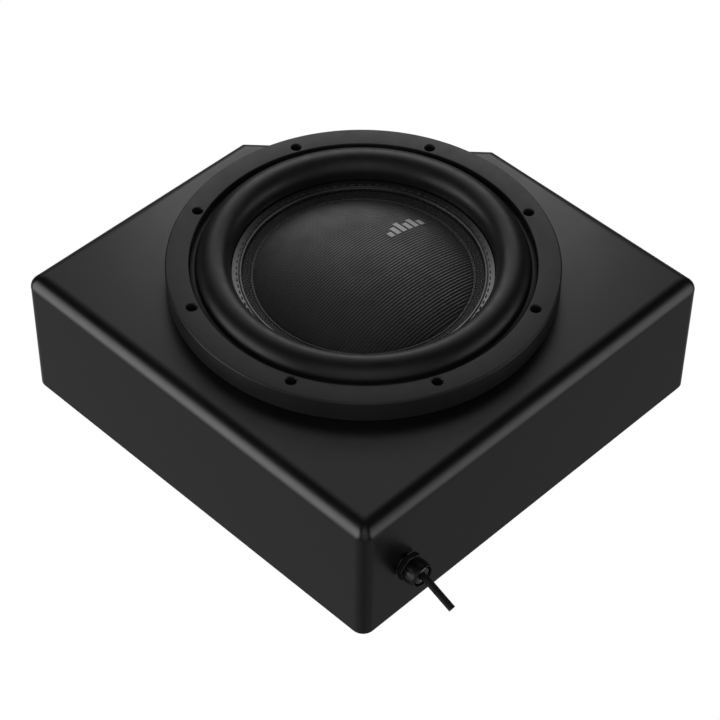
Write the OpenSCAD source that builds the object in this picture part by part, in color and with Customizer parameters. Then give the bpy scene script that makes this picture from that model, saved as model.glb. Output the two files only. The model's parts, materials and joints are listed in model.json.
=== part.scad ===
// Powered car subwoofer: a low moulded box with one chamfered back corner, a ten inch driver
// under a thick rubber trim ring, an amplifier on the base plate and a cable gland with a
// short braided pigtail. Origin at the middle of the base, +Z up, the gland on the +X side.

/* [Enclosure] */
// Length of each full side of the box
box_side = 334; // [332:1:340]
// Height of the box, floor to top panel
box_height = 105; // [104:0.5:108]
// Radius of the rounded edge round the top
edge_fillet = 12; // [8:1:12]
// Radius of the upright corners
corner_radius = 9; // [6:1:10]
// Length cut off the back corner, along the left side
chamfer_left = 126.5; // [120:0.5:130]
// Length cut off the back corner, along the rear side
chamfer_rear = 137; // [130:0.5:140]
// Thickness of the walls and the top panel
wall = 8; // [7:0.5:8]
// Thickness of the base plate
base_thick = 5; // [4:0.5:5]

/* [Driver] */
// Outer radius of the rubber trim ring
ring_radius = 137.5; // [136:0.5:139]
// Height of the trim ring above the top panel
ring_height = 17; // [16:0.5:18]
// Inner radius of the trim ring
ring_bore = 121; // [121:0.1:121.5]
// Radius of the circle that the driver screws stand on
screw_circle = 126.5; // [126:0.5:127.5]
// Number of driver screws
screw_count = 8; // [4:4:8]
// Radius of the middle of the surround's roll
roll_circle = 104.3; // [104:0.1:104.5]
// Outer radius of the roll's half-round section
roll_radius = 12.2; // [11:0.1:12.3]
// Radius of the edge of the moving cone
cone_radius = 91.8; // [90:0.1:91.8]
// Radius of the dust cap
cap_radius = 77; // [74:1:77]
// Height of the dust cap's dome
cap_rise = 17.5; // [14:0.5:18.5]
// Outer radius of the voice coil former
former_radius = 31.9; // [31.8:0.05:31.95]

/* [Cable] */
// Distance of the gland from the middle, towards the front corner
gland_y = -128.5; // [-130:0.5:-124]
// Height of the gland above the floor
gland_z = 45.5; // [44:0.5:48]
// Diameter of the braided cable
cord_diameter = 4.8; // [4.2:0.1:5]

/* [Amplifier] */
// Length of the circuit board
board_length = 140; // [140:1:142]
// Width of the circuit board
board_width = 58; // [58:1:60]
// Height of the capacitors
capacitor_height = 25; // [18:1:32]
// Number of fins on the heat sink
fin_count = 14; // [8:1:18]

/* [Mounting] */
// Distance between the mounting inserts, left to right
mount_x = 200; // [180:5:210]
// Distance between the mounting inserts, front to back
mount_y = 190; // [170:5:195]
// Radius of the mounting inserts' bores
mount_bore = 3; // [2.5:0.5:3]

/* [Hidden] */

$fn = 96;
eps = 0.5;              // how far a cutter runs past the face it opens
half = box_side / 2;

// Levels from the base plate up to the roll of the surround
gasket_thick = 1.5;
top = box_height;
flange_z = top + gasket_thick;
ring_top = top + ring_height;
flange_top = ring_top - 9;
seat_z = ring_top - 6;
rubber = 1.5;
cap_edge_z = top + 2.4;       // rim of the dust cap, on the upper part of the cone
edge_z = ring_top - 9.3;      // top of the moving cone's edge
band_z = edge_z - 2.9;        // where the edge ring meets the fabric band
spider_z = 61;
top_plate_z = 37;
magnet_z = 15;
yoke_z = 9;
board_z = 14;
board_thick = 1.6;

// Radii of the motor and basket
pole_radius = 31;
magnet_radius = 70;
cutout_radius = 117;
basket_rim = 134;
band_radius = 84.5;

// Screws and bosses
boss_radius = 7;
boss_inset = 14;
base_screw_hole = 2.6;

// ---------------------------------------------------------------- outline of the box

// Corners of the box in plan, counterclockwise from the front right one
corners = [
    [half, -half], [half, half], [chamfer_rear - half, half],
    [-half, half - chamfer_left], [-half, -half]
];
corner_radii = [corner_radius, corner_radius, 6, 4, corner_radius];

function unit(v) = v / norm(v);
function side(i) = unit(corners[(i + 1) % 5] - corners[(i + 5) % 5]);
function inward(i) = [-side(i)[1], side(i)[0]];
function miter(i) = let (a = inward(i + 4), b = inward(i)) (a + b) / (1 + a * b);
function outward_angle(i) = atan2(-inward(i)[1], -inward(i)[0]);
function turn(i) = let (t = outward_angle(i) - outward_angle(i + 4)) t < 0 ? t + 360 : t;

// The outline moved inwards by inset, with its corners rounded to share of their radius
function rounded_outline(inset, share, steps) = [
    for (i = [0 : 4], j = [0 : steps])
        let (
            r = corner_radii[i] * share,
            a = outward_angle(i + 4) + turn(i) * j / steps
        )
        corners[i] + miter(i) * (inset + r) + r * [cos(a), sin(a)]
];
function sharp_outline(inset) = [for (i = [0 : 4]) corners[i] + miter(i) * inset];

// Closed skin over rings of equal point counts, each ring a list of 3-D points
module skin(rings) {
    n = len(rings[0]);
    last = len(rings) - 1;
    polyhedron(
        points = [for (ring = rings, p = ring) p],
        faces = concat(
            [[for (i = [0 : n - 1]) i]],
            [[for (i = [0 : n - 1]) last * n + n - 1 - i]],
            [for (k = [0 : last - 1], i = [0 : n - 1]) [k * n + i, (k + 1) * n + i, k * n + (i + 1) % n]],
            [for (k = [0 : last - 1], i = [0 : n - 1])
                [k * n + (i + 1) % n, (k + 1) * n + i, (k + 1) * n + (i + 1) % n]]
        )
    );
}

// ---------------------------------------------------------------- shared shapes

module tube(outer, inner, height) {
    difference() {
        cylinder(r = outer, h = height);
        translate([0, 0, -eps]) cylinder(r = inner, h = height + 2 * eps);
    }
}

module plate(outline, height) {
    linear_extrude(height) polygon(outline);
}

module block(low, high) {
    translate(low) cube(high - low);
}

module at_each(places) {
    for (p = places) translate(p) children();
}

// Cylinder or hexagon lying along +X from x0 to x1, on the gland's axis
module along_gland(x0, x1, r, sides = 96) {
    translate([x0, gland_y, gland_z]) rotate([0, 90, 0]) cylinder(r = r, h = x1 - x0, $fn = sides);
}

// Round tube swept along a route of 3-D points; across is a direction that the route never takes
function direction(route, i) = unit(
    route[min(i + 1, len(route) - 1)] - route[max(i - 1, 0)]);
function ring_at(p, d, r, sides, across) =
    let (u = unit(cross(d, across)), v = cross(d, u))
    [for (k = [0 : sides - 1]) p + r * (u * cos(360 * k / sides) + v * sin(360 * k / sides))];
module sweep(route, r, across, sides = 8) {
    skin([for (i = [0 : len(route) - 1]) ring_at(route[i], direction(route, i), r, sides, across)]);
}

screw_places = [for (k = [0 : screw_count - 1])
    let (a = 22.5 + 360 / screw_count * k) screw_circle * [cos(a), sin(a)]];
function lifted(places, z) = [for (p = places) [p[0], p[1], z]];

in = half - boss_inset;
base_screw_places = [
    [in, -in], [in, -in / 3], [in, in / 3], [in, in], [66, in], [-18, in],
    [-89, 93.5], [-in, 32], [-in, -60], [-in, -in], [-in / 3, -in], [in / 3, -in]
];

mount_centre_y = -35;
mount_places = [for (x = [-1, 1], y = [-1, 1]) [x * mount_x / 2, mount_centre_y + y * mount_y / 2]];

// ---------------------------------------------------------------- enclosure

rabbet = 3.5;
plate_gap = 0.3;
gasket_gap = 1;

module enclosure_shell() color("#1b1b1c") {
    steps = 12;
    fillet_rings = [for (k = [0 : steps])
        let (t = 90 * k / steps, inset = edge_fillet * (1 - cos(t)))
        [for (p = rounded_outline(inset, 1 - 0.85 * k / steps, 8))
            [p[0], p[1], top - edge_fillet * (1 - sin(t))]]];
    foot_ring = [for (p = rounded_outline(0, 1, 8)) [p[0], p[1], 0]];
    difference() {
        union() {
            difference() {
                skin(concat([foot_ring], fillet_rings));
                translate([0, 0, -eps]) plate(sharp_outline(wall), top - wall + eps);
                translate([0, 0, -eps])
                    plate(sharp_outline(rabbet), base_thick + gasket_gap + eps);
            }
            at_each(lifted(base_screw_places, base_thick + gasket_gap))
                cylinder(r = boss_radius, h = 30);
            at_each(lifted(screw_places, top - 20)) cylinder(r = boss_radius, h = 15);
        }
        translate([0, 0, top - 30]) cylinder(r = cutout_radius, h = 30 + eps);
        at_each(lifted(screw_places, top - 12)) cylinder(r = 3.2, h = 12 + eps);
        at_each(lifted(base_screw_places, 0)) cylinder(r = 1.9, h = 26);
        along_gland(half - 2 * wall, half + eps, 7.7);
    }
}

module base_plate() color("#2a2a2c") difference() {
    plate(sharp_outline(rabbet + plate_gap), base_thick);
    at_each(lifted(base_screw_places, -eps)) cylinder(r = base_screw_hole, h = base_thick + 2 * eps);
    at_each(lifted(base_screw_places, -eps)) cylinder(r = 4.8, h = 2.5 + eps);
    at_each(lifted(mount_places, -eps)) cylinder(r = 4.5, h = base_thick + 2 * eps);
}

module base_gasket() color("#101010") translate([0, 0, base_thick]) difference() {
    plate(sharp_outline(rabbet + plate_gap), gasket_gap);
    translate([0, 0, -eps]) plate(sharp_outline(wall + 1), gasket_gap + 2 * eps);
}

module base_screws() color("#3c3c3e") at_each(lifted(base_screw_places, 0.4)) {
    difference() {
        cylinder(r = 4.6, h = 2.1);
        translate([0, 0, -eps]) cylinder(r = 1.9, h = 1.2 + eps, $fn = 6);
    }
    translate([0, 0, 2.1]) cylinder(r = 1.85, h = 20);
}

module mounting_inserts() color("#b59a54") at_each(lifted(mount_places, 0)) difference() {
    union() {
        cylinder(r = 4.45, h = 9);
        translate([0, 0, base_thick]) cylinder(r = 7, h = 1.2);
    }
    translate([0, 0, -eps]) cylinder(r = mount_bore, h = 8 + eps);
}

// ---------------------------------------------------------------- driver frame and trim

module driver_gasket() color("#0e0e0e") translate([0, 0, top]) difference() {
    tube(basket_rim - 1, cutout_radius + 1, gasket_thick);
    at_each(lifted(screw_places, -eps)) cylinder(r = 2.3, h = gasket_thick + 2 * eps);
}

module basket() color("#2b2b2d") {
    ledge = 71.5;
    profile = [
        [40, 45], [62, 45], [63, 57], [75, 60], [116, 99], [116, flange_z],
        [basket_rim, flange_z], [basket_rim, flange_top], [ring_bore - 0.1, flange_top],
        [ring_bore - 0.1, seat_z], [113.5, seat_z], [113.5, 103], [ledge + 0.5, 64],
        [ledge + 0.5, spider_z], [59, spider_z], [59, 49], [40, 49]
    ];
    difference() {
        union() {
            rotate_extrude() polygon(profile);
            block([-8, -84, 57.6], [8, -73, 66]);
        }
        for (a = [0 : 60 : 300]) rotate(a)
            translate([0, 0, 56]) plate([[77, -28], [110, -40], [110, 40], [77, 28]], 47);
        at_each(lifted(screw_places, flange_z - eps)) cylinder(r = 2.3, h = 12);
    }
}

module trim_ring() color("#1c1c1d") {
    edge = 2;
    arc = [for (a = [0 : 15 : 90])
        [ring_radius - edge + edge * cos(a), ring_top - edge + edge * sin(a)]];
    profile = concat(
        [[basket_rim + 0.3, top + 0.3], [ring_radius, top + 0.3]], arc,
        [[ring_bore, ring_top], [ring_bore, flange_top], [basket_rim + 0.3, flange_top]]);
    difference() {
        rotate_extrude() polygon(profile);
        at_each(lifted(screw_places, flange_top - eps)) cylinder(r = 3.7, h = 9 + 2 * eps);
    }
}

module driver_screws() color("#19191a") at_each(lifted(screw_places, flange_top)) {
    difference() {
        cylinder(r = 3.4, h = 3.8);
        translate([0, 0, 1.8]) cylinder(r = 1.7, h = 2 + eps, $fn = 6);
    }
    translate([0, 0, -18]) cylinder(r = 1.95, h = 18);
}

module driver_inserts() color("#b59a54") at_each(lifted(screw_places, top - 12))
    tube(3.15, 2, 12);

// ---------------------------------------------------------------- moving cone and its suspension

module surround() color("#161617") {
    roll_z = seat_z + 1;
    foot = roll_circle - roll_radius;
    rotate_extrude() union() {
        translate([roll_circle, roll_z]) difference() {
            circle(r = roll_radius);
            circle(r = roll_radius - 2);
            translate([-2 * roll_radius, -2 * roll_radius]) square([4 * roll_radius, 2 * roll_radius]);
        }
        translate([foot, edge_z - 0.6]) square([2, roll_z - edge_z + 0.7]);
        translate([roll_circle + roll_radius - 2, seat_z])
            square([ring_bore - 0.1 - roll_circle - roll_radius + 2, rubber]);
    }
}

module edge_ring() color("#1a1a1b") {
    thick = 1.2;
    bead = 0.7;
    rotate_extrude() polygon([
        [cone_radius, edge_z - thick], [cone_radius, edge_z - 0.3], [cone_radius - 0.3, edge_z],
        [band_radius + 1.8, band_z + 1.1], [band_radius + 1.2, band_z + bead + 0.7],
        [band_radius + 0.4, band_z + bead + 0.3], [band_radius, band_z], [band_radius, band_z - thick]
    ]);
}

module edge_stitching() color("#4a4a4c") {
    stitches = 90;
    r = band_radius + 3.7;
    for (k = [0 : stitches - 1]) rotate(360 / stitches * k)
        translate([r, 0, band_z + 2.2]) rotate([90, 0, 0])
            cylinder(r = 0.35, h = 3.6, center = true, $fn = 6);
}

module cone() color("#262627") {
    paper = 1.4;
    knee_z = cap_edge_z - 0.85;   // just under the rim of the dust cap
    profile = [
        [cone_radius, edge_z - 1.3], [band_radius, band_z - 1.3], [cap_radius + 0.9, knee_z],
        [34, 78.8], [former_radius + 0.1, 78.8], [former_radius + 0.1, 73], [33.6, 73],
        [34.6, 77.2], [cap_radius + 0.9, knee_z - 1.2 * paper], [band_radius, band_z - 1.3 - paper],
        [cone_radius, edge_z - 1.3 - paper]
    ];
    rotate_extrude() polygon(profile);
}

module dust_cap() color("#202021") {
    dome = (cap_radius * cap_radius + cap_rise * cap_rise) / (2 * cap_rise);
    skin_thick = 1.2;
    rotate_extrude() {
        intersection() {
            translate([0, cap_edge_z + cap_rise - dome]) difference() {
                circle(r = dome, $fn = 360);
                circle(r = dome - skin_thick, $fn = 360);
            }
            translate([0, cap_edge_z]) square([cap_radius, cap_rise + 1]);
        }
        translate([cap_radius - 2.4, cap_edge_z - 0.8]) square([2.9, 0.85]);
    }
}

module voice_coil_former()
    color("#b9bcc0") translate([0, 0, 29]) tube(former_radius, former_radius - 0.4, 51);

module voice_coil() color("#b86f3c") translate([0, 0, 30]) tube(33.1, former_radius + 0.02, 22);

// Corrugated cloth disc: flat at both ends, with whole waves between them
wave_start = 38;
wave_end = 59;
wave_count = 3;
function spider_lift(r) = r < wave_start || r > wave_end ? 0
    : 2.2 * sin(360 * wave_count * (r - wave_start) / (wave_end - wave_start));
module spider() color("#8a6d3a") {
    cloth = 0.8;
    radii = concat([former_radius + 0.3], [for (r = [wave_start : 0.875 : wave_end]) r], [71]);
    rotate_extrude() polygon(concat(
        [for (r = radii) [r, spider_z + spider_lift(r)]],
        [for (k = [len(radii) - 1 : -1 : 0]) [radii[k], spider_z + cloth + spider_lift(radii[k])]]
    ));
}

// ---------------------------------------------------------------- motor

module top_plate() color("#8b8d90") translate([0, 0, top_plate_z]) tube(64, 33.6, 8);

module magnet() color("#3b3b3e") translate([0, 0, magnet_z])
    tube(magnet_radius, 36, top_plate_z - magnet_z);

module t_yoke() color("#8b8d90") translate([0, 0, yoke_z]) difference() {
    union() {
        cylinder(r = 66, h = magnet_z - yoke_z);
        cylinder(r = pole_radius, h = 38);
    }
    translate([0, 0, -eps]) cylinder(r = 10, h = 39);
}

module shorting_ring() color("#c4c6c8") translate([0, 0, magnet_z]) tube(35.8, pole_radius + 0.1, 3);

module magnet_boot() color("#151515") {
    inner = magnet_radius + 0.1;
    outer = magnet_radius + 2.5;
    rotate_extrude() polygon([
        [inner, top_plate_z], [outer, top_plate_z], [outer, 12], [67, 12],
        [67, magnet_z - 0.1], [inner, magnet_z - 0.1]
    ]);
}

module speaker_terminals() color("#c9a75a") {
    block([-14, -86, 56], [14, -84, 68]);
    for (x = [-8, 8]) block([x - 3, -94, 61.6], [x + 3, -86, 62.4]);
}

module tinsel_leads() color("#b86f3c") for (s = [-1, 1]) sweep([
    [s * 11, -87, 65], [s * 11.5, -87.2, 66.5], [s * 14, -88, 68.5], [s * 19, -89, 72],
    [s * 22, -86, 76], [s * 21, -77, 80], [s * 18, -66, 80], [s * 14, -53, 78], [s * 10, -42, 79]
], 0.8, [0.3, 0, -1]);

module speaker_leads() color("#7d1f1f") for (s = [-1, 1]) {
    start = s > 0 ? 17 : 12;
    sweep([
        [start, -88, board_z + board_thick], [start, -88, 18], [start, -89, 24], [(start + 16) / 2, -93, 36],
        [(start + s * 14) / 2, -99, 48], [s * 8.5, -104, 57], [s * 8, -102.5, 61.4], [s * 8, -99, 62]
    ], 1.1, [1, 0, 0]);
    block([s * 8 - 3.4, -99, 60.5], [s * 8 + 3.4, -94, 63.5]);
}

// ---------------------------------------------------------------- amplifier, on its own board

board_x = 0;
board_y = -144;
board_top = board_z + board_thick;
standoff_inset = 5;
standoff_places = [
    for (x = [standoff_inset, board_length - standoff_inset],
         y = [standoff_inset, board_width - standoff_inset])
        [board_x + x, board_y + y]
];
sink_x = [15, 105];
sink_y = 16;
sink_height = 35;

module on_board() translate([board_x, board_y, board_top]) children();

module amp_board() color("#1d4a2c") difference() {
    block([board_x, board_y, board_z], [board_x + board_length, board_y + board_width, board_top]);
    at_each(lifted(standoff_places, board_z - eps)) cylinder(r = 1.7, h = board_thick + 2 * eps);
}

module board_standoffs() color("#b59a54") at_each(lifted(standoff_places, base_thick)) difference() {
    cylinder(r = 3, h = board_z - base_thick);
    translate([0, 0, 2]) cylinder(r = 1.3, h = board_z);
}

module board_screws() color("#9a9a9c") at_each(lifted(standoff_places, board_top)) {
    cylinder(r = 2.8, h = 2);
    translate([0, 0, -7]) cylinder(r = 1.2, h = 7);
}

module heat_sink() color("#2e2e30") on_board() {
    pitch = (sink_x[1] - sink_x[0] - 1.6) / (fin_count - 1);
    union() {
        block([sink_x[0], sink_y, 0.5], [sink_x[1], sink_y + 4, sink_height]);
        for (k = [0 : fin_count - 1])
            block([sink_x[0] + k * pitch, 1, 0.5], [sink_x[0] + k * pitch + 1.6, sink_y + 1, sink_height]);
    }
}

module power_transistors() color("#232325") on_board() for (x = [22 : 22 : 88]) {
    block([x, sink_y + 4, 6], [x + 10, sink_y + 8.5, 22]);
    for (leg = [1.6, 4.6, 7.6]) block([x + leg, sink_y + 6, 0], [x + leg + 0.8, sink_y + 6.6, 6]);
}

coil_place = [24, 41.5, 1];

module transformer_core() color("#6b7a3a") on_board() translate(coil_place) tube(11, 6.6, 10);

module transformer_winding() color("#b86f3c") on_board() translate(coil_place)
    for (a = [0 : 18 : 342]) rotate(a) difference() {
        block([5.7, -0.7, -0.9], [11.9, 0.7, 10.9]);
        block([6.5, -1, -0.1], [11.1, 1, 10.1]);
    }

module output_inductor() color("#b86f3c") on_board() translate([48, 43, 0]) {
    cylinder(r = 4.8, h = 14);
    for (k = [0 : 4]) translate([0, 0, 2 + 2.3 * k])
        rotate_extrude() translate([5.9, 0]) circle(r = 1, $fn = 24);
}

module capacitors() color("#23262c") on_board() for (x = [66, 84, 102]) translate([x, 46, 0]) difference() {
    cylinder(r = 8, h = capacitor_height);
    translate([0, 0, capacitor_height - 0.4]) tube(7.2, 6.6, 1);
}

module control_chips() color("#161618") on_board() {
    block([5, 16, 0], [12, 23, 1.6]);
    block([3, 28, 0], [11, 40, 1.6]);
    block([50, 27, 0], [58, 33, 1.6]);
    block([74, 28, 0], [86, 34, 1.6]);
}

module terminal_block() color("#2f6b3f") on_board() difference() {
    block([124, 23, 0], [137, 49, 12]);
    for (k = [0 : 3]) translate([130.5, 27 + 6 * k, 7]) cylinder(r = 2.3, h = 6);
}

module terminal_screws() color("#9a9a9c") on_board() for (k = [0 : 3]) translate([130.5, 27 + 6 * k, 7])
    difference() {
        cylinder(r = 2.2, h = 3.5);
        block([-3, -0.4, 2.5], [3, 0.4, 5]);
    }

module fuse_holder() color("#1a1a1b") on_board() difference() {
    block([108, 2, 0], [128, 12, 9]);
    block([111, 5, 3], [125, 9, 10]);
}

module blade_fuse() color("#c23a2e") on_board() {
    block([111.4, 5.3, 6], [124.6, 8.7, 15]);
    for (x = [112, 119]) block([x, 6.6, 3.2], [x + 5, 7.4, 6]);
}

// Trimmer body with a round bore for the knob's stem, and the knob
trimmer_places = [[115, 21], [115, 34]];
stem_radius = 1.5;
module trimmer(place) on_board() translate(place) difference() {
    block([-4.5, -4.5, 0], [4.5, 4.5, 5]);
    translate([0, 0, 1.7]) cylinder(r = stem_radius + 0.05, h = 4);
}
module trimmer_knob(place) on_board() translate(place) {
    translate([0, 0, 2]) cylinder(r = stem_radius, h = 3.4);
    translate([0, 0, 5.3]) difference() {
        cylinder(r = 3.2, h = 5);
        translate([-0.5, -4, 3.8]) cube([1, 8, 2]);
    }
}
module gain_trimmer() color("#2b4a8a") trimmer(trimmer_places[0]);
module gain_knob() color("#dedede") trimmer_knob(trimmer_places[0]);
module crossover_trimmer() color("#2b4a8a") trimmer(trimmer_places[1]);
module crossover_knob() color("#dedede") trimmer_knob(trimmer_places[1]);

phase_place = [116, 46, 0];
module phase_switch() color("#b8babd") on_board() translate(phase_place) difference() {
    block([-3, -6, 0], [3, 6, 4.5]);
    block([-1.3, -4.3, 1.5], [1.3, 4.3, 5]);
}
module phase_slider() color("#e4e4e4") on_board() translate(phase_place)
    block([-0.95, -3.9, 1.85], [0.95, -0.1, 7]);

// ---------------------------------------------------------------- cable gland and cable

mouth_x = half + 16.6;
cord_start_x = mouth_x - 2.6;

module gland_body() color("#121213") difference() {
    union() {
        along_gland(half - 16, half + 1.4, 7.5);
        along_gland(half + 1.4, half + 6, 10.6, 6);
        along_gland(half + 5.5, half + 12, 6.6);
    }
    along_gland(half - 17, half + 13, 4.4);
}

module gland_washer() color("#0c0c0c") difference() {
    along_gland(half, half + 1.4, 9.4);
    along_gland(half - 1, half + 2, 7.55);
}

module gland_locknut() color("#121213") difference() {
    along_gland(half - wall - 5, half - wall, 11, 6);
    along_gland(half - wall - 6, half - wall + 1, 7.55);
}

module gland_seal() color("#0a0a0a") difference() {
    along_gland(half + 12.2, cord_start_x, 6);
    along_gland(half + 12, cord_start_x + 1, cord_diameter / 2 + 0.02);
}

module gland_nut() color("#151516") {
    profile = [
        [6.7, 6.3], [9.6, 6.3], [9.6, 10.6], [9.3, 12.8], [8.9, 14.6], [8.4, 16.1], [8.0, 16.6],
        [6.9, 16.6], [6.1, 15.8], [6.1, 12.1], [6.7, 12.1]
    ];
    translate([half, gland_y, gland_z]) rotate([0, 90, 0]) rotate_extrude() polygon(profile);
}

cable_end = half - 14;
module inner_cable() color("#141415") along_gland(cable_end, cord_start_x, cord_diameter / 2);

// Each wire drops in a lane of its own, so that none of them cross
module harness_wires() color("#8a2a22") {
    bend = 2.5;
    run_z = board_top + 4;
    turn = [for (t = [0, 30, 60, 90]) bend * [1 - sin(t), 1 - cos(t)]];
    for (k = [0 : 3]) {
        x = half - 18 - 2.2 * k;
        y = board_y + 45 - 6 * k;
        start_y = gland_y + (k % 2 == 0 ? 1 : -1);
        start_z = gland_z + (k < 2 ? -1 : 1);
        sweep(concat(
            [[cable_end, start_y, start_z]],
            [for (t = turn) [x + t[0], start_y, start_z - t[1]]],
            [for (t = [[0.05, 4], [0.3, 7], [0.75, 11.5], [0.95, 14]])
                [x, start_y + t[0] * (y - start_y), start_z - t[1]]],
            [[x, y, start_z - 16]],
            [for (t = turn) [x - t[1], y, run_z + t[0]]],
            [[board_length - 3, y, run_z]]
        ), 0.9, [-1, 0, 1]);
    }
}

// Middle line of the free cable, in the upright plane through the gland: [x, z]
cord_route = [
    [181, 45.5], [182, 45.5], [184, 45.4], [186, 45.1], [188, 44.7], [190, 44.0], [192, 43.2],
    [194, 42.35], [196, 41.5], [198, 40.65], [200, 39.8], [202, 38.95], [204, 38.1],
    [206, 37.25], [208, 36.4], [210, 35.55]
];
module cord()
    color("#1e1e1f")
        sweep([for (p = cord_route) [p[0], gland_y, p[1]]], cord_diameter / 2, [0, 1, 0], 12);

// ---------------------------------------------------------------- parts

enclosure_shell();
base_plate();
base_gasket();
base_screws();
mounting_inserts();
driver_gasket();
basket();
trim_ring();
driver_screws();
driver_inserts();
surround();
edge_ring();
edge_stitching();
cone();
dust_cap();
voice_coil_former();
voice_coil();
spider();
top_plate();
magnet();
t_yoke();
shorting_ring();
magnet_boot();
speaker_terminals();
tinsel_leads();
speaker_leads();
amp_board();
board_standoffs();
board_screws();
heat_sink();
power_transistors();
transformer_core();
transformer_winding();
output_inductor();
capacitors();
control_chips();
terminal_block();
terminal_screws();
fuse_holder();
blade_fuse();
gain_trimmer();
gain_knob();
crossover_trimmer();
crossover_knob();
phase_switch();
phase_slider();
gland_body();
gland_washer();
gland_locknut();
gland_seal();
gland_nut();
inner_cable();
harness_wires();
cord();
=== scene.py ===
"""Powered car subwoofer: camera, cable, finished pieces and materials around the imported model.

Lengths given to the helpers are in millimetres; Blender's own are in metres.
"""

import json
import math

import bmesh
import bpy
import numpy as np
from mathutils import Matrix, Vector


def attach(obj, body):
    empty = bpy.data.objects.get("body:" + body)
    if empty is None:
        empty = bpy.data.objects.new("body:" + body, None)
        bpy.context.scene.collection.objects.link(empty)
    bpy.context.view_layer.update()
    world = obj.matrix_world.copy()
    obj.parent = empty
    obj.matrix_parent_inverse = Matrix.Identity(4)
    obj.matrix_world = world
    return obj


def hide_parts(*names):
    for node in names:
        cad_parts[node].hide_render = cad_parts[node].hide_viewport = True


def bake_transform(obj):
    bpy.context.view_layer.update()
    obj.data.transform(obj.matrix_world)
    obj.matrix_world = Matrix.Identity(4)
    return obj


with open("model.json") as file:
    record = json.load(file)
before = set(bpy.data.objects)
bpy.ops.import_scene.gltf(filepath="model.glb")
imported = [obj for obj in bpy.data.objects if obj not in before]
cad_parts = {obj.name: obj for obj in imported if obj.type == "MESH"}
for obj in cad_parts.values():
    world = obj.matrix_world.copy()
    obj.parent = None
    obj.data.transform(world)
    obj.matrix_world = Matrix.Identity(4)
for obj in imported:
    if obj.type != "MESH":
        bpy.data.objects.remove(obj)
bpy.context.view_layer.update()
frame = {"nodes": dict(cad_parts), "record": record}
NODES = frame["nodes"]
MM = 0.001
TAU = 2 * math.pi

# Sizes shared with the CAD model
RING_RADIUS, RING_BORE = 137.5, 121.0
RING_FOOT, RING_TOP = 105.3, 122.0
FLANGE_TOP = 113.0
SCREW_CIRCLE = 126.5
SCREW_TURNS = [22.5 + 45 * k for k in range(8)]
ROLL_CIRCLE, ROLL_Z = 104.3, 117.0
CONE_RADIUS = 91.8
BAND_RADIUS, BAND_Z = 84.5, 109.8
BAND_FOOT = 108.5
STITCH_COUNT = 90
CAP_RADIUS, CAP_RISE, CAP_EDGE = 77.0, 17.5, 107.4
CAP_DOME = (CAP_RADIUS ** 2 + CAP_RISE ** 2) / (2 * CAP_RISE)
KNEE_RADIUS, KNEE_Z = 77.9, 106.55
GLAND = Vector((167.0, -128.5, 45.5))
CORD_DIAMETER = 4.8
# (x, z) along the middle of the cord, from the gland's mouth to the cut end
CORD_ROUTE = [
    (181, 45.5), (182, 45.5), (184, 45.4), (186, 45.1), (188, 44.7), (190, 44.0), (192, 43.2),
    (194, 42.35), (196, 41.5), (198, 40.65), (200, 39.8), (202, 38.95), (204, 38.1),
    (206, 37.25), (208, 36.4), (210, 35.55),
]

# Pitch of the ridges of yarn, in the dust cap's mesh and in its material
CAP_PITCH = 2.1
# Thickness of a fibre in the woven cloths
FIBRE = 0.14
# Length of one band of Blender's wave texture at scale 1
WAVE_BAND = 0.314

# Camera: degrees, the lens and sensor in millimetres, the rest in metres
CAMERA_ANGLES = (44.29, 45.90, 0.747)
CAMERA_LENS, CAMERA_SENSOR = 125.56, 36
CAMERA_TARGET = Vector((0.0556, -0.0592, 0.105))
CAMERA_DISTANCE = 1.6952


# ---------------------------------------------------------------- camera

def add_camera():
    """Looks at the target from the front corner. The angles are azimuth, elevation and roll."""
    azimuth, elevation, roll = (math.radians(a) for a in CAMERA_ANGLES)
    back = Vector((math.sin(azimuth) * math.cos(elevation),
                   -math.cos(azimuth) * math.cos(elevation), math.sin(elevation)))
    flat = Vector((math.cos(azimuth), math.sin(azimuth), 0))
    upright = back.cross(flat)
    right = flat * math.cos(roll) + upright * math.sin(roll)
    up = upright * math.cos(roll) - flat * math.sin(roll)
    data = bpy.data.cameras.new("camera")
    data.sensor_width = CAMERA_SENSOR
    data.lens = CAMERA_LENS
    data.clip_start = 0.05
    camera = bpy.data.objects.new("camera", data)
    turn = Matrix((right, up, back)).transposed().to_4x4()
    camera.matrix_world = Matrix.Translation(CAMERA_TARGET + back * CAMERA_DISTANCE) @ turn
    bpy.context.scene.collection.objects.link(camera)
    bpy.context.scene.camera = camera


# ---------------------------------------------------------------- mesh helpers

def new_object(name, points, faces, crease=35):
    """A smooth-shaded mesh from points in metres, with edges sharper than crease degrees kept sharp."""
    mesh = bpy.data.meshes.new(name)
    mesh.from_pydata([tuple(p) for p in points], [], [tuple(int(i) for i in f) for f in faces])
    bm = bmesh.new()
    bm.from_mesh(mesh)
    bmesh.ops.remove_doubles(bm, verts=bm.verts, dist=1e-6)
    bmesh.ops.recalc_face_normals(bm, faces=bm.faces)
    bm.to_mesh(mesh)
    bm.free()
    mesh.shade_smooth()
    mesh.set_sharp_from_angle(angle=math.radians(crease))
    obj = bpy.data.objects.new(name, mesh)
    bpy.context.scene.collection.objects.link(obj)
    return obj


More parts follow.
